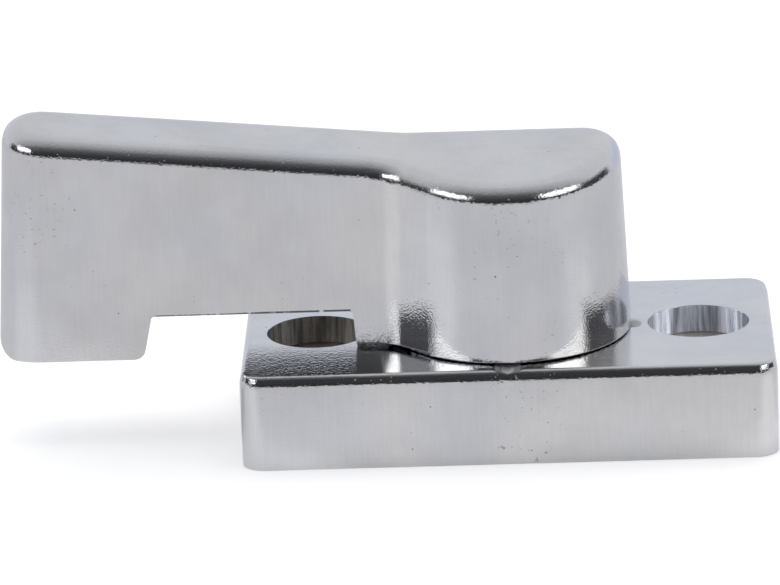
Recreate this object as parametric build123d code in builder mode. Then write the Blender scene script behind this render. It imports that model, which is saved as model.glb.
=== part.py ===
"""Spring-loaded turn button for a door: a cast lever that turns on a cast base plate.

Millimetres. The origin is on the pivot axis, on the face that the base is screwed down with.
+X runs along the base, away from the lever's arm; +Y is the flat side of the lever; +Z is up.
"""

import os
from math import cos, radians, sin, sqrt, tan

from build123d import *

os.makedirs("parts", exist_ok=True)

# Base plate
base_length = 50.0
base_depth = 26.6
base_height = 9.1
base_corner_radius = 2.2
base_edge_setback = 0.3
base_edge_drop = 0.92
base_edge_upper_radius = 0.45
base_edge_lower_radius = 1.9

# Screw holes: a pan head drops into the counterbore
hole_spacing = 36.0
head_bore_diameter = 9.6
head_bore_depth = 2.7
shank_bore_diameter = 5.5

# Detent grooves in the top of the base, every quarter turn
groove_half_width = 1.45
groove_depth = 0.43
groove_bottom_radius = 0.5
groove_shoulder_radius = 1.6
groove_end_reach = 12.95

# Hub of the lever: round in front, with a flat back in line with the arm
hub_gap = 0.12
hub_radius = 11.5
hub_offset = 0.2
hub_height = 18.1
hub_corner_radius = 4.3
wall_draft = 2.1
top_fall = 7.0

# Arm of the lever, seen from above
arm_reach = 48.05
arm_near_side = 5.2
arm_far_side = 5.1
flank_angle = 42.0
flank_blend_radius = 4.2
tip_near_corner_radius = 4.2
tip_far_corner_radius = 3.9

# Arm of the lever, seen from the side
arm_rise = 5.4
arm_rise_start = 9.3
arm_rise_blend_radius = 24.0
tip_draft = 3.4
tip_bottom_radius = 1.7
nose_drop = 0.55
recess_clearance = 3.6
recess_start = 14.4
recess_end = 33.3
recess_leg_draft = 4.0
recess_nose_draft = 12.0
nose_corner_radius = 1.1
recess_corner_radius = 0.4
leg_relief = 0.25
edge_radius = 1.9
foot_edge_radius = 0.15

# Pivot stud, cast with the lever, and its riveted end
stud_diameter = 6.2
stud_bore_clearance = 0.1
rivet_head_diameter = 8.8
rivet_head_height = 0.9
rivet_edge_radius = 0.4
rivet_standoff = 0.4

# Retaining washer and spring in the underside of the base
washer_diameter = 12.2
washer_thickness = 1.0
washer_bore_clearance = 0.08
spring_wire = 0.9
spring_outer_diameter = 11.4
spring_turns = 3.5
spring_recess_diameter = 12.8
spring_recess_depth = 6.6

# Levels that follow from the sizes above
hub_bottom = base_height + hub_gap
hub_top = hub_bottom + hub_height
leg_bottom = hub_bottom + leg_relief
nose_bottom = base_height - nose_drop
recess_top = base_height + recess_clearance
washer_bottom = rivet_standoff + rivet_head_height
washer_top = washer_bottom + washer_thickness
stud_radius = stud_diameter / 2


def groove_section():
    """Closed outline of a detent groove in its cross plane, origin on the top face of the base."""
    wing = groove_half_width + groove_shoulder_radius
    with BuildSketch(mode=Mode.PRIVATE) as section:
        with BuildLine():
            Polyline(
                (-wing, 1),
                (-wing, 0),
                (-groove_half_width, 0),
                (0, -groove_depth),
                (groove_half_width, 0),
                (wing, 0),
                (wing, 1),
                close=True,
            )
        make_face()
        on_top = section.vertices().group_by(Axis.Y)[1]
        fillet(on_top.sort_by(Axis.X)[1:-1], groove_shoulder_radius)
        fillet(section.vertices().sort_by(Axis.Y)[0], groove_bottom_radius)
    return section.sketch


groove_profile = groove_section()
groove_end_centre = groove_end_reach - groove_half_width

with BuildPart() as base_plate:
    with BuildSketch():
        RectangleRounded(base_length, base_depth, base_corner_radius)
    extrude(amount=base_height)

    # The top edge is rolled: it falls further down the sides than it reaches in over the top
    top_face = base_plate.faces().sort_by(Axis.Z)[-1]
    chamfer(top_face.edges(), length=base_edge_setback, length2=base_edge_drop, reference=top_face)
    fillet(base_plate.faces().sort_by(Axis.Z)[-1].edges(), base_edge_upper_radius)
    level_loops = base_plate.edges().filter_by(Plane.XY).group_by(Axis.Z)
    crease = level_loops[1]
    fillet(crease, base_edge_lower_radius)

    # Grooves to the front and back run out through the edge
    with BuildSketch(Plane(origin=(0, base_depth, base_height), x_dir=(1, 0, 0), z_dir=(0, -1, 0))):
        add(groove_profile)
    extrude(amount=2 * base_depth, mode=Mode.SUBTRACT)

    # Grooves to the left and right stop short of the screw holes, with round ends
    left_end = (-groove_end_centre, 0, base_height)
    with BuildSketch(Plane(origin=left_end, x_dir=(0, 1, 0), z_dir=(1, 0, 0))):
        add(groove_profile)
    extrude(amount=2 * groove_end_centre, mode=Mode.SUBTRACT)
    for side in (-1, 1):
        end = (side * groove_end_centre, 0, base_height)
        with BuildSketch(Plane(origin=end, x_dir=(1, 0, 0), z_dir=(0, -1, 0))):
            with BuildLine():
                Polyline((0, -groove_depth), (groove_half_width, 0), (0, 0), close=True)
            make_face()
        revolve(axis=Axis(end, (0, 0, 1)), mode=Mode.SUBTRACT)

    with Locations((0, 0, base_height)):
        with GridLocations(hole_spacing, 0, 2, 1):
            CounterBoreHole(shank_bore_diameter / 2, head_bore_diameter / 2, head_bore_depth)

    # Pocket for the spring, and the bore that the stud turns in
    with BuildSketch():
        Circle(spring_recess_diameter / 2)
    extrude(amount=spring_recess_depth, mode=Mode.SUBTRACT)
    with BuildSketch():
        Circle(stud_radius + stud_bore_clearance)
    extrude(amount=base_height, mode=Mode.SUBTRACT)

base_plate.part.label = "base_plate"
export_step(base_plate.part, "parts/base_plate.step")


def lever_outline():
    """Closed outline of the lever from above, at the level of its lowest face."""
    flank = radians(flank_angle)
    hub_front = (hub_offset, -hub_radius)
    hub_corner = (hub_offset + sqrt(hub_radius**2 - arm_far_side**2), arm_far_side)
    flank_end = (hub_offset - hub_radius * sin(flank), -hub_radius * cos(flank))
    flank_start = (flank_end[0] + (flank_end[1] + arm_near_side) / tan(flank), -arm_near_side)
    beyond_tip = -2 * arm_reach
    rounded = ((flank_start, flank_blend_radius), (hub_corner, hub_corner_radius))
    with BuildSketch(mode=Mode.PRIVATE) as outline:
        with BuildLine():
            Polyline((beyond_tip, arm_far_side), (beyond_tip, -arm_near_side), flank_start, flank_end)
            ThreePointArc(flank_end, hub_front, hub_corner)
            Line(hub_corner, (beyond_tip, arm_far_side))
        make_face()
        for corner, radius in rounded:
            vertex = outline.vertices().sort_by_distance(Vector(corner[0], corner[1], 0))[0]
            fillet(vertex, radius)
    return outline.sketch


def lever_upper_side():
    """Closed outline of the lever under its top seen from the side, through the pivot axis."""
    beyond_hub = 2 * hub_radius
    beyond_tip = -2 * arm_reach
    rise_corner = (-arm_rise_start, hub_top)
    risen = hub_top + (-arm_rise_start - beyond_tip) * tan(radians(arm_rise))
    with BuildSketch(mode=Mode.PRIVATE) as side:
        with BuildLine():
            Polyline(
                (beyond_hub, 0),
                (beyond_hub, hub_top),
                rise_corner,
                (beyond_tip, risen),
                (beyond_tip, 0),
                close=True,
            )
        make_face()
        vertex = side.vertices().sort_by_distance(Vector(rise_corner[0], rise_corner[1], 0))[0]
        fillet(vertex, arm_rise_blend_radius)
    return side.sketch


def lever_underside():
    """Closed outline of what is open under the lever, seen from the side."""
    beyond_hub = hub_radius + 5
    beyond_tip = -arm_reach - 5
    below = nose_bottom - 5
    tip_side_height = 2 * tip_bottom_radius
    tip_side_x = -arm_reach + tip_side_height * tan(radians(tip_draft))
    tip_foot = (-arm_reach, nose_bottom)
    nose_slope = tan(radians(recess_nose_draft))
    nose_corner = (-recess_end - (recess_top - nose_bottom) * nose_slope, nose_bottom)
    recess_nose_corner = (-recess_end, recess_top)
    recess_leg_corner = (-recess_start, recess_top)
    leg_foot_x = -recess_start + (recess_top - hub_bottom) * tan(radians(recess_leg_draft))
    rounded = (
        (tip_foot, tip_bottom_radius),
        (nose_corner, nose_corner_radius),
        (recess_nose_corner, recess_corner_radius),
        (recess_leg_corner, recess_corner_radius),
    )
    with BuildSketch(mode=Mode.PRIVATE) as side:
        with BuildLine():
            Polyline(
                (beyond_tip, below),
                (beyond_tip, nose_bottom + tip_side_height),
                (tip_side_x, nose_bottom + tip_side_height),
                tip_foot,
                nose_corner,
                recess_nose_corner,
                recess_leg_corner,
                (leg_foot_x, hub_bottom),
                (beyond_hub, hub_bottom),
                (beyond_hub, below),
                close=True,
            )
        make_face()
        for corner, radius in rounded:
            vertex = side.vertices().sort_by_distance(Vector(corner[0], corner[1], 0))[0]
            fillet(vertex, radius)
    return side.sketch


outline_profile = lever_outline()
upper_profile = lever_upper_side()
underside_profile = lever_underside()
fall_angle = radians(top_fall)
behind = (0, base_depth, base_depth * tan(fall_angle))
tip_height = 2 * hub_height
tip_top_x = -arm_reach + tip_height * tan(radians(tip_draft))

with BuildPart() as turn_lever:
    with BuildSketch(Plane.XY.offset(nose_bottom)):
        add(outline_profile)
    extrude(amount=tip_height, taper=wall_draft)

    # The top falls from the flat back to the front
    with BuildSketch(Plane(origin=behind, x_dir=(1, 0, 0), z_dir=(0, -1, 0))):
        add(upper_profile)
    extrude(
        amount=2 * base_depth / cos(fall_angle),
        dir=(0, -cos(fall_angle), -sin(fall_angle)),
        mode=Mode.INTERSECT,
    )

    # End face of the tip
    with BuildSketch(Plane.XZ.offset(-base_depth)):
        with BuildLine():
            Polyline(
                (-arm_reach, nose_bottom),
                (tip_top_x, nose_bottom + tip_height),
                (-2 * arm_reach, nose_bottom + tip_height),
                (-2 * arm_reach, nose_bottom),
                close=True,
            )
        make_face()
    extrude(amount=2 * base_depth, mode=Mode.SUBTRACT)

    # Round the upright corners of the tip, then the rim of the top
    for corner_y, radius in ((-arm_near_side, tip_near_corner_radius), (arm_far_side, tip_far_corner_radius)):
        upright = turn_lever.edges().filter_by(lambda edge: abs((edge % 0.5).Z) > 0.9)
        fillet(upright.sort_by_distance((-arm_reach, corner_y, nose_bottom))[0], radius)
    across = turn_lever.edges().filter_by_position(Axis.X, 2 - arm_reach, 0)
    across = across.filter_by(lambda edge: abs((edge % 0.5).Y) > 0.95)
    top_faces = turn_lever.faces().filter_by(lambda face: face.normal_at().Z > 0.9)
    fillet(top_faces.edges().filter_by(lambda edge: edge not in across), edge_radius)

    # Nose, recess and foot of the hub
    with BuildSketch(Plane.XZ.offset(-base_depth)):
        add(underside_profile)
    extrude(amount=2 * base_depth, mode=Mode.SUBTRACT)

    # The leg beside the hub stands a little clear of the base
    with BuildSketch(Plane.XY.offset(hub_bottom)):
        with Locations((-recess_start, 0)):
            Rectangle(recess_start, base_depth)
        with Locations((hub_offset, 0)):
            Circle(hub_radius - leg_relief, mode=Mode.SUBTRACT)
    extrude(amount=leg_relief, mode=Mode.SUBTRACT)

    # Round the outer edges of the foot, where the drafted walls end
    foot_faces = turn_lever.faces().filter_by(lambda face: face.normal_at().Z < -0.95)
    foot_faces = foot_faces.filter_by_position(Axis.Z, hub_bottom - 0.01, leg_bottom + 0.01)
    walls = turn_lever.faces().filter_by(lambda face: 0.01 < face.normal_at().Z < 0.1)
    wall_edges = walls.edges()
    fillet(foot_faces.edges().filter_by(lambda edge: edge in wall_edges), foot_edge_radius)

    # Stud with its riveted end
    with BuildSketch(Plane.XY.offset(washer_bottom)):
        Circle(stud_radius)
    extrude(amount=hub_bottom - washer_bottom)
    with BuildSketch(Plane.XY.offset(rivet_standoff)):
        Circle(rivet_head_diameter / 2)
    extrude(amount=rivet_head_height)
    rivet_edge = turn_lever.faces().sort_by(Axis.Z)[0].edges()
    fillet(rivet_edge, rivet_edge_radius)

turn_lever.part.label = "turn_lever"
export_step(turn_lever.part, "parts/turn_lever.step")


with BuildPart() as retaining_washer:
    with BuildSketch(Plane.XY.offset(washer_bottom)):
        Circle(washer_diameter / 2)
        Circle(stud_radius + washer_bore_clearance, mode=Mode.SUBTRACT)
    extrude(amount=washer_thickness)

retaining_washer.part.label = "retaining_washer"
export_step(retaining_washer.part, "parts/retaining_washer.step")


# Spring: a round wire coil whose two ends are ground flat on the washer and on the pocket's roof
spring_length = spring_recess_depth - washer_top
coil_radius = (spring_outer_diameter - spring_wire) / 2
coil_rise = spring_length - spring_wire / 2
coil_start = (spring_length - coil_rise) / 2 + washer_top

with BuildPart() as coil_spring:
    with BuildLine() as coil_path:
        Helix(
            pitch=coil_rise / spring_turns,
            height=coil_rise,
            radius=coil_radius,
            center=(0, 0, coil_start),
        )
    with BuildSketch(Plane(coil_path.line @ 0, z_dir=coil_path.line % 0)):
        Circle(spring_wire / 2)
    sweep()
    with BuildSketch(Plane.XY.offset(washer_top)):
        Circle(spring_outer_diameter)
    extrude(amount=spring_length, mode=Mode.INTERSECT)

coil_spring.part.label = "coil_spring"
export_step(coil_spring.part, "parts/coil_spring.step")
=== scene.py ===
"""Studio scene of a chrome-plated door turn button: finishes, floor, light and camera.

Objects are in metres. Places on the pieces, reliefs and patterns are in millimetres.
"""

from math import cos, radians, sin

import bmesh
import bpy
from mathutils import Matrix, Vector


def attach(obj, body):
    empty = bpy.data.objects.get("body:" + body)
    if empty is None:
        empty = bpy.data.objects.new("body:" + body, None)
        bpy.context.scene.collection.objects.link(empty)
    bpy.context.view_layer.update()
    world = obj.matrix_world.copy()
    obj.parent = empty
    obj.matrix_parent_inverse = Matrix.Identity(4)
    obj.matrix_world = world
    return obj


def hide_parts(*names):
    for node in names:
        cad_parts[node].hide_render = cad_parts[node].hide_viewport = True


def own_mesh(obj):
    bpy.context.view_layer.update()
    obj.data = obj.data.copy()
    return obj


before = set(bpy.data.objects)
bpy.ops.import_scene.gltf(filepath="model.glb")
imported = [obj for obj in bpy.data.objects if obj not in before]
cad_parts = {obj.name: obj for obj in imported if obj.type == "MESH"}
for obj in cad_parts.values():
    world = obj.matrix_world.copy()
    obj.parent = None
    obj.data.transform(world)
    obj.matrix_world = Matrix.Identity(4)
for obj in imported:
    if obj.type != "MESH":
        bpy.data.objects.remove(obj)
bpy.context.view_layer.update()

MM = 0.001

# Camera: where it stands, how it is turned, its lens and sensor in millimetres, and its reach
CAMERA_PLACE = (0.00521, -0.53871, 0.18698)
CAMERA_TURN = radians(1.7246)
CAMERA_TILT = radians(17.9107)
CAMERA_ROLL = radians(-2.1887)
CAMERA_LENS = 276.92
CAMERA_SENSOR = 36.0
CAMERA_REACH = 20.0

# In metres: how close two corners of a mesh are one
MERGE_DISTANCE = 0.0000001

# Colours of the plating, clean and worn, and of the bare steel
CHROME_WARM = (0.715, 0.706, 0.7, 1)
CHROME_COOL = (0.695, 0.702, 0.722, 1)
THIN_COLOUR = (0.5, 0.43, 0.37, 1)
PIT_COLOUR = (0.13, 0.125, 0.12, 1)
# Painted tones of the bores' walls: shaded and warm on the left, lit and bluish on the right
SHADED_LEFT_BORE_COLOUR = (0.62, 0.6, 0.57, 1)
LIT_RIGHT_BORE_COLOUR = (0.62, 0.66, 0.73, 1)
WASHER_COLOUR = (0.45, 0.45, 0.44, 1)
SPRING_COLOUR = (0.36, 0.36, 0.37, 1)

# Relief of the plating and of the bare steel
PEEL_RELIEF = 0.01
GRAIN_RELIEF = 0.0132
RUB_RELIEF = 0.0015
DRAW_LINE_RELIEF = 0.1
PIT_DEPTH = 0.03
DENT_DEPTH = 0.006
DASH_DEPTH = 0.006
CRUMB_DEPTH = 0.02
SCRATCH_DEPTH = 0.003
TURNING_RELIEF = 0.002

# How strongly dents show on the faces, and how much more on the rolled edges
DENT_ON_FACES = 0.3
DENT_ON_EDGES = 1.2

# How strongly pits, dashes and crumbs show as dark marks
PIT_MARK = 0.75
DASH_MARK = 0.4
CRUMB_MARK = 0.5

# Roughness of clean plating, and what each trace and painted shade add to it
CHROME_ROUGHNESS = 0.055
CLOUD_ROUGHNESS = 0.03
RUB_ROUGHNESS = 0.02
MARK_ROUGHNESS = 0.3
SCRATCH_ROUGHNESS = 0.05
DRAWN_ROUGHNESS = 0.12
THIN_ROUGHNESS = 0.2
DARK_ROUGHNESS = 0.55

# Roughness of the bare steel, and what a stain adds to it
WASHER_ROUGHNESS = 0.3
SPRING_ROUGHNESS = 0.28
STAIN_ROUGHNESS = 0.2

# What painted shade takes from the colour, and draw lines and thin plating from the metal
DARK_LOSS = 0.88
DRAWN_LOSS = 0.8
THIN_LOSS = 0.6

# How bright stained steel is against clean steel
STAIN_SHADE = 0.6

# The smallest spot against the largest, and the part of the share from which spots grow fainter
SMALLEST_SPOT = 0.4
SPOT_FADE = 0.8

# How much a pattern is drawn out along x, y and z: a small factor makes it long that way
RUB_STRETCH = (1.0, 1.0, 0.07)
DRAW_LINE_STRETCH = (1.0, 1.0, 0.08)
DASH_STRETCH = (0.5, 0.5, 1.7)
SCRATCH_STRETCH = (0.16, 1.0, 1.5)
BURR_STRETCH = (1.0, 0.0, 0.0)
TURNING_STRETCH = (1.0, 1.0, 6.0)

# From here on, two numbers are where a smooth step starts and ends, and three are a window's
# two sides and how soft they are

# How far up a rolled edge faces, and how far down the ceiling of the recess does
ROLLED_EDGE = (0.2, 0.85, 0.08)
FACING_DOWN = (-0.5, -0.8)

# Places on the lever, and what is done there
LEVER_PITS = 0.02
LEVER_FRONT = (0.5, -0.5)
LEG_RIGHT_SIDE = (-10.2, -11.8)
LEG_LEFT_SIDE = (-14.6, -14.3)
LEG_SPREAD_TOP = 12.9
LEG_SPREAD = 0.0157
FLANK_SIDES = (-12.0, -6.0, 2.0)
FLANK_SPREAD_TOP = 14.0
FLANK_SPREAD = 0.003
ARM_SCUFF_LENGTH = (-47.5, -40.0, 1.5)
ARM_SCUFF_HEIGHT = (19.0, 25.0, 1.0)
HUB_SCUFF_LENGTH = (-1.0, 5.0, 1.0)
HUB_SCUFF_HEIGHT = (20.5, 24.5, 1.0)
LEVER_SCUFF = 0.4
RECESS_TOP = 12.7
# Painted shade on the recess's ceiling: its height, and where it darkens towards the front
CEILING_HEIGHT = (12.2, 12.5)
CEILING_DEPTH = (0.5, -2.5)
# A shallow dent along the recess's front lip, and the broken line of painted shade on it
BURR_HEIGHT = 0.14
BURR_LENGTH = (-33.0, -14.6, 0.1)
BURR_FRONT = (-4.2, -4.6)
BURR_DEPTH = 0.02
BURR_SOFTNESS = 0.05
LIP_PAINTED_SHADE = 0.75

# Places on the base, and what is done there
BASE_LENGTH = 50.0
BASE_DEPTH = 26.6
BASE_TOP = 9.1
BASE_PITS = 0.04
BASE_MIDDLE = (-2.0, 2.0)
HOLE_PLACE = 18.0
BORE_WALL = (4.9, 4.85)
BORE_RIM = (BASE_TOP, BASE_TOP - 0.1)
BORE_FLOOR = (6.52, 6.42)
BORE_FLOOR_THINNESS = 0.8
# Painted light in the bores: on their flanks, and stronger in the right bore than the left
BORE_FLANKS = (2.5, 4.0, 0.5)
BORE_LIGHT = 0.95
BETWEEN_BORES = (-10.0, 10.0)
LEFT_BORE_LIGHT = 0.7
RIGHT_BORE_LIGHT = 1.6
GROOVE_SIDES = (1.5, 1.2)
GROOVE_HEIGHT = (BASE_TOP - 0.8, BASE_TOP - 0.09, 0.05)
GROOVE_END_LENGTH = (24.6, 24.3)
GROOVE_END_DEPTH = (12.9, 12.6)
GROOVE_THINNESS = 0.08
# Where the side grooves lie, and the painted shade in them
SIDE_GROOVE = (3.0, 2.0)
SIDE_GROOVE_PAINTED_SHADE = 0.4
# The front notch: draw lines, painted shade on its flanks, a painted highlight in its valley
NOTCH_START = (-9.0, -11.0)
NOTCH_DRAWN = 0.8
NOTCH_PAINTED_SHADE = 0.5
VALLEY_SIDES = (0.65, 0.3)
VALLEY_LIGHT = 0.8
FRONT_SCUFF_LENGTH = (-1.5, 4.5, 1.2)
FRONT_FACE = (-13.0, -13.2)
ROUGH_CAST_LENGTH = (-13.5, -15.0)
ROUGH_CAST_DEPTH = (-4.0, -8.0)
ROUGH_CAST_HEIGHT = (8.9, 9.05)
ROUGH_CAST_RELIEF = 0.03

# The table top, and the painted light that mirrors see on it: a glow all over, a brighter
# pool close to the base, and pools on each side
FLOOR_SIDES = 96
FLOOR_RADIUS = 3.0
FLOOR_DROP = 0.00002
FLOOR_COLOUR = (0.8, 0.796, 0.813, 1)
FLOOR_LIFT = 0.5
TABLE_GLOW = 0.03
BASE_GLOW_LEFT = 0.19
BASE_GLOW_RIGHT = 0.14
BASE_GLOW_TURN = (2.0, 24.0)
BASE_GLOW_REACH = (32.0, 0.0)
SIDE_GLOW = 0.12
LEFT_GLOW_AZIMUTH = (radians(-80), radians(-48), 0.12)
LEFT_GLOW_REACH = (160.0, 80.0)
RIGHT_GLOW_AZIMUTH = (radians(52), radians(80), 0.12)
RIGHT_GLOW_REACH = (120.0, 45.0)

# The room: brightness from its dark front (0) over straight up (0.5) to its pale back (1), and
# the least radius that a direction is divided by
ROOM_BRIGHTNESS = (
    (0.0, 0.035),
    (0.01, 0.04),
    (0.045, 0.06),
    (0.095, 0.097),
    (0.16, 0.155),
    (0.25, 0.32),
    (0.355, 0.44),
    (0.47, 0.53),
    (0.6, 0.65),
    (0.74, 0.68),
    (0.92, 0.72),
)
ROOM_RED = 0.98
ROOM_BLUE = 1.045
BACK_WALL_COLOUR = (0.697, 0.735, 0.818, 1)
LEAST_RADIUS = 0.001

# What stands round the room: azimuths, and heights as the upward part of the direction
LEFT_GAP = (radians(-100), radians(-76), 0.05)
RIGHT_GAP = (radians(75), radians(120), 0.06)
GAP_HEIGHT = (0.5, 0.25)
GAP_COLOUR = (0.06, 0.06, 0.065, 1)
WINDOW_AZIMUTH = (radians(130), radians(160), 0.12)
WINDOW_HEIGHT = (0.34, 0.2)
WINDOW_COLOUR = (0.58, 0.66, 0.84, 1)
LEFT_BOX = (radians(-75), radians(-38), 0.1)
RIGHT_BOX = (radians(37), radians(75), 0.1)
BOX_BOTTOM = (0.1, 0.35)
BOX_TOP = (0.57, 0.43)
BOX_COLOUR = (2.2, 2.2, 2.22, 1)


class Signal:
    """A number that varies over a surface, so that sums on it can be written as plain Python."""

    def __init__(self, finish, socket):
        self.finish = finish
        self.socket = socket

    def _sum(self, operation, *terms):
        node = self.finish.node("ShaderNodeMath", {"operation": operation}, dict(enumerate(terms)))
        return Signal(self.finish, node.outputs[0])

    def __add__(self, other):
        return self._sum("ADD", self, other)

    def __radd__(self, other):
        return self._sum("ADD", other, self)

    def __sub__(self, other):
        return self._sum("SUBTRACT", self, other)

    def __rsub__(self, other):
        return self._sum("SUBTRACT", other, self)

    def __mul__(self, other):
        return self._sum("MULTIPLY", self, other)

    def __rmul__(self, other):
        return self._sum("MULTIPLY", other, self)

    def __truediv__(self, other):
        return self._sum("DIVIDE", self, other)

    def __pow__(self, other):
        return self._sum("POWER", self, other)

    def __abs__(self):
        return self._sum("ABSOLUTE", self)

    def larger(self, other):
        return self._sum("MAXIMUM", self, other)

    def smaller(self, other):
        return self._sum("MINIMUM", self, other)

    def angle_from(self, other):
        """The angle whose sine and cosine are in the ratio of self to other."""
        return self._sum("ARCTAN2", self, other)


class Finish:
    """The node tree of one material or of the world."""

    def __init__(self, owner):
        owner.use_nodes = True
        self.tree = owner.node_tree
        self.tree.nodes.clear()

    def node(self, kind, settings=None, sockets=None):
        """A node of that kind: its settings come first, then its sockets' values and links."""
        made = self.tree.nodes.new(kind)
        for name, setting in (settings or {}).items():
            if name == "ramp":
                self._stops(made.color_ramp, setting)
            else:
                setattr(made, name, setting)
        for name, value in (sockets or {}).items():
            self.feed(made.inputs[name], value)
        return made

    def feed(self, socket, value):
        if isinstance(value, Signal):
            value = value.socket
        if isinstance(value, bpy.types.NodeSocket):
            self.tree.links.new(value, socket)
        else:
            socket.default_value = value

    @staticmethod
    def _stops(ramp, stops):
        while len(ramp.elements) > 1:
            ramp.elements.remove(ramp.elements[-1])
        ramp.elements[0].position, ramp.elements[0].color = stops[0]
        for position, colour in stops[1:]:
            ramp.elements.new(position).color = colour

    def place(self):
        """The point on the piece, in millimetres."""
        return self.scaled(self.node("ShaderNodeTexCoord").outputs["Object"], 1 / MM)

    def facing_up(self):
        """One where the surface looks straight up, and minus one where it looks down."""
        return self.parts(self.node("ShaderNodeNewGeometry").outputs["Normal"])[2]

    def parts(self, vector):
        """The x, y and z of a vector."""
        split = self.node("ShaderNodeSeparateXYZ", sockets={0: vector})
        return [Signal(self, output) for output in split.outputs]

    def scaled(self, vector, factor):
        product = self.node(
            "ShaderNodeVectorMath", {"operation": "SCALE"}, {0: vector, "Scale": factor}
        )
        return product.outputs[0]

    def stretched(self, vector, factors):
        product = self.node(
            "ShaderNodeVectorMath", {"operation": "MULTIPLY"}, {0: vector, 1: factors}
        )
        return product.outputs[0]

    def noise(self, vector, per_mm, detail=2.0, roughness=0.5):
        """Random waves, from 0 to 1: per_mm is how many lie in a millimetre."""
        made = self.node(
            "ShaderNodeTexNoise",
            sockets={"Vector": vector, "Scale": per_mm, "Detail": detail, "Roughness": roughness},
        )
        return Signal(self, made.outputs["Fac"])

    def step(self, value, low, high, start=0.0, end=1.0):
        """A smooth step from start to end as value goes from low to high."""
        made = self.node(
            "ShaderNodeMapRange",
            {"interpolation_type": "SMOOTHSTEP"},
            {"Value": value, "From Min": low, "From Max": high, "To Min": start, "To Max": end},
        )
        return Signal(self, made.outputs[0])

    def window(self, value, low, high, edge):
        """One between low and high, and zero outside, with smooth edges."""
        rise = self.step(value, low - edge, low + edge)
        return rise * self.step(value, high + edge, high - edge)

    def blend(self, factor, first, second):
        made = self.node("ShaderNodeMix", {"data_type": "RGBA"}, {0: factor, 6: first, 7: second})
        return made.outputs[2]

    def spots(self, vector, per_mm, share, radius, softness=0.25):
        """Round spots scattered over the surface: share of the cells hold one."""
        cells = self.node(
            "ShaderNodeTexVoronoi", {"feature": "F1"}, {"Vector": vector, "Scale": per_mm}
        )
        distance = Signal(self, cells.outputs["Distance"])
        draw = self.parts(cells.outputs["Color"])
        present = self.step(draw[0], share, share * SPOT_FADE)
        size = radius * per_mm * (SMALLEST_SPOT + (1 - SMALLEST_SPOT) * draw[1])
        return self.step(distance / size, 1.0 + softness, 1.0 - softness) * present

    def surface(self, colour, roughness, relief, metallic=1.0):
        """The finished surface, with its relief in millimetres."""
        bump = self.node(
            "ShaderNodeBump", sockets={"Strength": 1.0, "Distance": MM, "Height": relief}
        )
        shader = self.node(
            "ShaderNodeBsdfPrincipled",
            sockets={
                "Base Color": colour,
                "Metallic": metallic,
                "Roughness": roughness,
                "Normal": bump.outputs[0],
            },
        )
        self.node("ShaderNodeOutputMaterial", sockets={"Surface": shader.outputs[0]})


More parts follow.
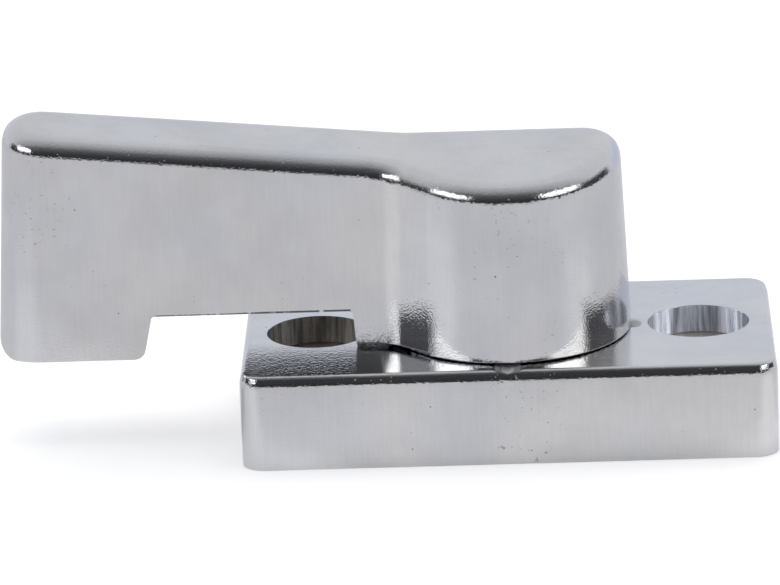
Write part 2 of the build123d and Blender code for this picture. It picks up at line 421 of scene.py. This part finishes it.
def chrome_plating(
    finish,
    place,
    pit_share,
    scuffed,
    thin=0.0,
    drawn=0.0,
    side_light=1.0,
    shape=0.0,
    painted_shade=0.0,
):
    """Bright plating over a cast surface: orange peel, grain, pits, rubbing marks and clouding.

    pit_share is how much of it is pitted, scuffed is where the part has been knocked about, thin
    is where the plating is thin and brownish, drawn is where the casting has upright draw lines
    and side_light is light painted onto them, shape is relief to add in millimetres, and the
    last argument is painted shade, which darkens the colour and roughens the surface.
    """
    peel = finish.noise(place, per_mm=0.5, detail=1.0)
    grain = finish.noise(place, per_mm=5.6, detail=1.0)
    cloud = finish.noise(place, per_mm=0.13, detail=3.0, roughness=0.6)
    warmth = finish.noise(place, per_mm=0.07)
    wear = finish.noise(place, per_mm=0.22)
    flaking = finish.noise(place, per_mm=1.7, detail=3.0, roughness=0.75)
    rubbed = finish.stretched(place, RUB_STRETCH)
    rub = finish.noise(rubbed, per_mm=3.4, roughness=0.65)
    upright = finish.stretched(place, DRAW_LINE_STRETCH)
    lines = finish.noise(upright, per_mm=1.6, detail=3.0, roughness=0.7)

    rolled = finish.window(finish.facing_up(), *ROLLED_EDGE)
    patch = finish.step(wear, low=0.5, high=0.64, end=0.8).larger(scuffed)
    pits = finish.spots(place, per_mm=1.1, share=pit_share, radius=0.1)
    dents = finish.spots(place, per_mm=2.1, share=0.42, radius=0.11)
    dents = dents * (DENT_ON_FACES + DENT_ON_EDGES * rolled)
    flattened = finish.stretched(place, DASH_STRETCH)
    dashes = patch * finish.spots(flattened, per_mm=1.9, share=0.45, radius=0.09)
    lengthened = finish.stretched(place, SCRATCH_STRETCH)
    scratch = finish.spots(lengthened, per_mm=1.1, share=0.07, radius=0.075)
    crumbs = scuffed * finish.step(flaking, low=0.65, high=0.7)
    marks = (PIT_MARK * pits + DASH_MARK * dashes + CRUMB_MARK * crumbs).smaller(1.0)

    relief = PEEL_RELIEF * peel + GRAIN_RELIEF * grain + RUB_RELIEF * rub
    relief = relief - PIT_DEPTH * pits - DENT_DEPTH * dents - DASH_DEPTH * dashes
    relief = relief - CRUMB_DEPTH * crumbs - SCRATCH_DEPTH * scratch
    relief = relief + drawn * lines * DRAW_LINE_RELIEF + shape

    roughness = CHROME_ROUGHNESS + CLOUD_ROUGHNESS * cloud + RUB_ROUGHNESS * rub
    roughness = roughness + MARK_ROUGHNESS * marks + SCRATCH_ROUGHNESS * scratch
    roughness = roughness + DRAWN_ROUGHNESS * drawn + THIN_ROUGHNESS * thin
    roughness = roughness + DARK_ROUGHNESS * painted_shade

    streak = finish.step(lines, low=0.35, high=0.65, start=0.65, end=1.6)
    shade = finish.step(cloud, low=0.32, high=0.68, start=0.955, end=1.045)
    shade = shade * finish.step(rub, low=0.25, high=0.75, start=0.98, end=1.016)
    # Painted shade darkens the colour, and painted side light brightens the draw lines
    shade = shade * (1 - DARK_LOSS * painted_shade) * (1 - drawn + drawn * streak * side_light)

    # The drawn walls take a painted tone: shaded and warm on the left, lit and bluish on the right
    right_half = finish.step(finish.parts(place)[0], *BASE_MIDDLE)
    painted_bore_tone = finish.blend(right_half, SHADED_LEFT_BORE_COLOUR, LIT_RIGHT_BORE_COLOUR)
    warm = finish.step(warmth, low=0.35, high=0.65)
    chrome_tone = finish.blend(warm, CHROME_COOL, CHROME_WARM)
    clean = finish.scaled(finish.blend(drawn, chrome_tone, painted_bore_tone), shade)
    worn = finish.blend(thin, clean, THIN_COLOUR)
    metallic = 1 - DRAWN_LOSS * drawn - THIN_LOSS * thin
    finish.surface(finish.blend(marks, worn, PIT_COLOUR), roughness, relief, metallic)


def lever_chrome():
    """The lever's plating: painted shade in the recess under the arm, darker towards the front,
    and a broken line of painted shade over a shallow dent along the recess's front lip.

    The relief at the foot of the leg and flank tilts the reflection, as the real foot does where
    it spreads onto the base.
    """
    material = bpy.data.materials.new("lever_chrome")
    finish = Finish(material)
    place = finish.place()
    x, y, z = finish.parts(place)
    front = finish.step(y, *LEVER_FRONT)

    # Painted shade on the recess's ceiling under the arm, darker towards the front
    ceiling = finish.step(finish.facing_up(), *FACING_DOWN) * finish.step(z, *CEILING_HEIGHT)
    ceiling = ceiling * finish.step(y, *CEILING_DEPTH, start=0.75, end=1.0)

    leg = finish.step(x, *LEG_RIGHT_SIDE) * finish.step(x, *LEG_LEFT_SIDE)
    flank = finish.window(x, *FLANK_SIDES)
    foot = LEG_SPREAD * (LEG_SPREAD_TOP - z).larger(0.0) ** 2 * leg
    foot = (foot + FLANK_SPREAD * (FLANK_SPREAD_TOP - z).larger(0.0) ** 2 * flank) * front

    arm_scuff = front * finish.window(x, *ARM_SCUFF_LENGTH) * finish.window(z, *ARM_SCUFF_HEIGHT)
    hub_scuff = front * finish.window(x, *HUB_SCUFF_LENGTH) * finish.window(z, *HUB_SCUFF_HEIGHT)

    # A broken line of painted shade along the recess's front lip, over a shallow dent
    along = finish.stretched(place, BURR_STRETCH)
    breaks = finish.noise(along, per_mm=0.9, detail=3.0, roughness=0.8)
    edge = finish.window(z, RECESS_TOP, RECESS_TOP + BURR_HEIGHT, BURR_SOFTNESS)
    edge = edge * finish.window(x, *BURR_LENGTH)
    lip_dent_and_painted_shade = edge * finish.step(breaks, low=0.38, high=0.5) * finish.step(y, *BURR_FRONT)

    chrome_plating(
        finish,
        place,
        pit_share=LEVER_PITS,
        scuffed=LEVER_SCUFF * arm_scuff.larger(hub_scuff),
        shape=foot - BURR_DEPTH * lip_dent_and_painted_shade,
        painted_shade=ceiling.larger(LIP_PAINTED_SHADE * lip_dent_and_painted_shade),
    )
    return material


def base_chrome():
    """The base's plating: thin on the bores' floors, drawn in the bores, rough near one corner.

    Painted light and shade tint and brighten the bores' walls and light the notch's valley, and
    painted shade darkens the side grooves and the notch's flanks.
    """
    material = bpy.data.materials.new("base_chrome")
    finish = Finish(material)
    place = finish.place()
    x, y, z = finish.parts(place)

    from_hole = ((abs(x) - HOLE_PLACE) ** 2 + y**2) ** 0.5
    bore = finish.step(z, *BORE_RIM) * finish.step(from_hole, *BORE_WALL)
    bore_floor = bore * finish.step(z, *BORE_FLOOR)

    inside = finish.step(abs(x), *GROOVE_END_LENGTH) * finish.step(abs(y), *GROOVE_END_DEPTH)
    groove = finish.step(abs(x).smaller(abs(y)), *GROOVE_SIDES)
    groove = groove * finish.window(z, *GROOVE_HEIGHT) * inside
    notch = groove * finish.step(y, *NOTCH_START)
    # Painted shade on the notch's flanks and a painted highlight in its valley
    valley = notch * finish.step(abs(x), *VALLEY_SIDES)
    # Painted shade in the side grooves
    side_groove_shade = SIDE_GROOVE_PAINTED_SHADE * groove * finish.step(abs(y), *SIDE_GROOVE)

    # Painted light on the bores' flanks, stronger in the right bore
    flanks = finish.window(abs(abs(x) - HOLE_PLACE), *BORE_FLANKS)
    flank_light = finish.step(x, *BETWEEN_BORES, LEFT_BORE_LIGHT, RIGHT_BORE_LIGHT)

    rough_cast = finish.step(x, *ROUGH_CAST_LENGTH) * finish.step(y, *ROUGH_CAST_DEPTH)
    rough_cast = rough_cast * finish.step(z, *ROUGH_CAST_HEIGHT)

    chrome_plating(
        finish,
        place,
        pit_share=BASE_PITS,
        scuffed=finish.window(x, *FRONT_SCUFF_LENGTH) * finish.step(y, *FRONT_FACE),
        thin=(BORE_FLOOR_THINNESS * bore_floor).larger(GROOVE_THINNESS * groove),
        drawn=(bore * (1 - bore_floor)).larger(NOTCH_DRAWN * notch),
        side_light=BORE_LIGHT + flanks * flank_light + VALLEY_LIGHT * valley,
        shape=ROUGH_CAST_RELIEF * rough_cast * finish.noise(place, per_mm=3.0, detail=1.0),
        painted_shade=side_groove_shade.larger(NOTCH_PAINTED_SHADE * (notch - valley)),
    )
    return material


def plain_steel(name, colour, base_roughness):
    """Bare steel with drawing or turning marks, and stains that darken and roughen it."""
    material = bpy.data.materials.new(name)
    finish = Finish(material)
    place = finish.place()
    turned = finish.stretched(place, TURNING_STRETCH)
    turning = finish.noise(turned, per_mm=2.5, detail=3.0, roughness=0.6)
    stain = finish.noise(place, per_mm=0.5, detail=3.0, roughness=0.6)
    stained = (*(STAIN_SHADE * channel for channel in colour[:3]), 1)
    shade = finish.blend(finish.step(stain, low=0.35, high=0.75), colour, stained)
    finish.surface(shade, base_roughness + STAIN_ROUGHNESS * stain, TURNING_RELIEF * turning)
    return material


def coat(node_name, material):
    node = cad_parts[node_name]
    node.data.materials.clear()
    node.data.materials.append(material)


def return_spring():
    """The coil spring: a merged copy of the CAD spring in bare steel, attached to the base."""
    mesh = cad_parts["coil_spring"].data.copy()
    coil = bmesh.new()
    coil.from_mesh(mesh)
    bmesh.ops.remove_doubles(coil, verts=coil.verts, dist=MERGE_DISTANCE)
    coil.to_mesh(mesh)
    coil.free()
    mesh.materials.clear()
    mesh.materials.append(plain_steel("spring_steel", SPRING_COLOUR, SPRING_ROUGHNESS))
    spring = bpy.data.objects.new("return_spring", mesh)
    bpy.context.scene.collection.objects.link(spring)
    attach(spring, "base")
    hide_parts("coil_spring")
    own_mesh(spring)


def pale_floor():
    """A wide white table top, lit up to white for the camera, with the object's shadow on it.

    Mirrors see it glow with painted light, brightest beside the base and towards each side.
    """
    bpy.ops.mesh.primitive_circle_add(
        vertices=FLOOR_SIDES, radius=FLOOR_RADIUS, fill_type="NGON", location=(0, 0, -FLOOR_DROP)
    )
    floor = bpy.context.object
    floor.name = "floor"
    material = bpy.data.materials.new("white_table")
    finish = Finish(material)
    x, y = finish.parts(finish.place())[:2]

    # Painted light for mirrors: a pool beside the base and pools towards each side
    from_base = (abs(x) - BASE_LENGTH / 2).larger(abs(y) - BASE_DEPTH / 2)
    beside_base = finish.step(from_base, *BASE_GLOW_REACH)
    beside_base = beside_base * finish.step(x, *BASE_GLOW_TURN, BASE_GLOW_LEFT, BASE_GLOW_RIGHT)
    azimuth = x.angle_from(-1 * y)
    reach = (x * x + y * y) ** 0.5
    left_glow = finish.window(azimuth, *LEFT_GLOW_AZIMUTH) * finish.step(reach, *LEFT_GLOW_REACH)
    right_glow = finish.window(azimuth, *RIGHT_GLOW_AZIMUTH)
    right_glow = right_glow * finish.step(reach, *RIGHT_GLOW_REACH)
    glow = TABLE_GLOW + beside_base + SIDE_GLOW * right_glow + SIDE_GLOW * left_glow

    ray = finish.node("ShaderNodeLightPath")
    seen = Signal(finish, ray.outputs["Is Camera Ray"])
    mirrored = Signal(finish, ray.outputs["Is Glossy Ray"])
    diffuse = finish.node("ShaderNodeBsdfDiffuse", sockets={"Color": FLOOR_COLOUR})
    lift = finish.node(
        "ShaderNodeEmission",
        sockets={"Color": (1, 1, 1, 1), "Strength": FLOOR_LIFT * seen + mirrored * glow},
    )
    both = finish.node("ShaderNodeAddShader", sockets={0: diffuse.outputs[0], 1: lift.outputs[0]})
    finish.node("ShaderNodeOutputMaterial", sockets={"Surface": both.outputs[0]})
    floor.data.materials.append(material)


def studio_world():
    """A pale wall behind the table, a ceiling that darkens to the front, boxes and dark gaps.

    Azimuth is measured from the front and grows to the right.
    """
    world = bpy.data.worlds.new("studio")
    bpy.context.scene.world = world
    finish = Finish(world)
    x, y, z = finish.parts(finish.node("ShaderNodeTexCoord").outputs["Generated"])

    backwards = y / ((y * y + z * z) ** 0.5).larger(LEAST_RADIUS)
    stops = [
        (at, (level * ROOM_RED, level, level * ROOM_BLUE, 1)) for at, level in ROOM_BRIGHTNESS
    ]
    stops.append((1.0, BACK_WALL_COLOUR))
    room = finish.node("ShaderNodeValToRGB", {"ramp": stops}, {0: 0.5 + 0.5 * backwards})

    azimuth = x.angle_from(-1 * y)
    window_side = finish.window(azimuth, *WINDOW_AZIMUTH) * finish.step(z, *WINDOW_HEIGHT)
    daylit = finish.blend(window_side, room.outputs[0], WINDOW_COLOUR)
    gaps = finish.window(azimuth, *LEFT_GAP).larger(finish.window(azimuth, *RIGHT_GAP))
    shaded = finish.blend(gaps * finish.step(z, *GAP_HEIGHT), daylit, GAP_COLOUR)
    boxes = finish.window(azimuth, *LEFT_BOX).larger(finish.window(azimuth, *RIGHT_BOX))
    tall = finish.step(z, *BOX_BOTTOM) * finish.step(z, *BOX_TOP)
    lit = finish.blend(boxes * tall, shaded, BOX_COLOUR)

    background = finish.node("ShaderNodeBackground", sockets={"Color": lit, "Strength": 1.0})
    finish.node("ShaderNodeOutputWorld", sockets={"Surface": background.outputs[0]})


def soft_box(name, azimuth, distance, height, size, power):
    """A rectangular soft light that faces the object and that the chrome doesn't mirror.

    Azimuth 0 is in front, and grows to the right.
    """
    lamp = bpy.data.lights.new(name, "AREA")
    lamp.shape = "RECTANGLE"
    lamp.size, lamp.size_y = size
    lamp.energy = power
    light = bpy.data.objects.new(name, lamp)
    place = Vector((distance * sin(azimuth), -distance * cos(azimuth), height))
    light.location = place
    light.rotation_euler = (-place).to_track_quat("-Z", "Y").to_euler()
    light.visible_glossy = False
    bpy.context.scene.collection.objects.link(light)


def product_camera():
    camera_data = bpy.data.cameras.new("product_camera")
    camera_data.sensor_width = CAMERA_SENSOR
    camera_data.lens = CAMERA_LENS
    camera_data.clip_end = CAMERA_REACH
    camera = bpy.data.objects.new("product_camera", camera_data)
    level = Matrix.Rotation(CAMERA_TURN, 4, "Z")
    tilt = Matrix.Rotation(radians(90) - CAMERA_TILT, 4, "X")
    roll = Matrix.Rotation(CAMERA_ROLL, 4, "Z")
    camera.matrix_world = Matrix.Translation(CAMERA_PLACE) @ level @ tilt @ roll
    bpy.context.scene.collection.objects.link(camera)
    bpy.context.scene.camera = camera


coat("base_plate", base_chrome())
coat("turn_lever", lever_chrome())
coat("retaining_washer", plain_steel("washer_steel", WASHER_COLOUR, WASHER_ROUGHNESS))
return_spring()
pale_floor()
studio_world()
soft_box(
    "overhead_soft_box", azimuth=radians(180), distance=0.3, height=1.6, size=(1.6, 1.6), power=9
)
product_camera()
bpy.context.scene.view_settings.view_transform = "Standard"
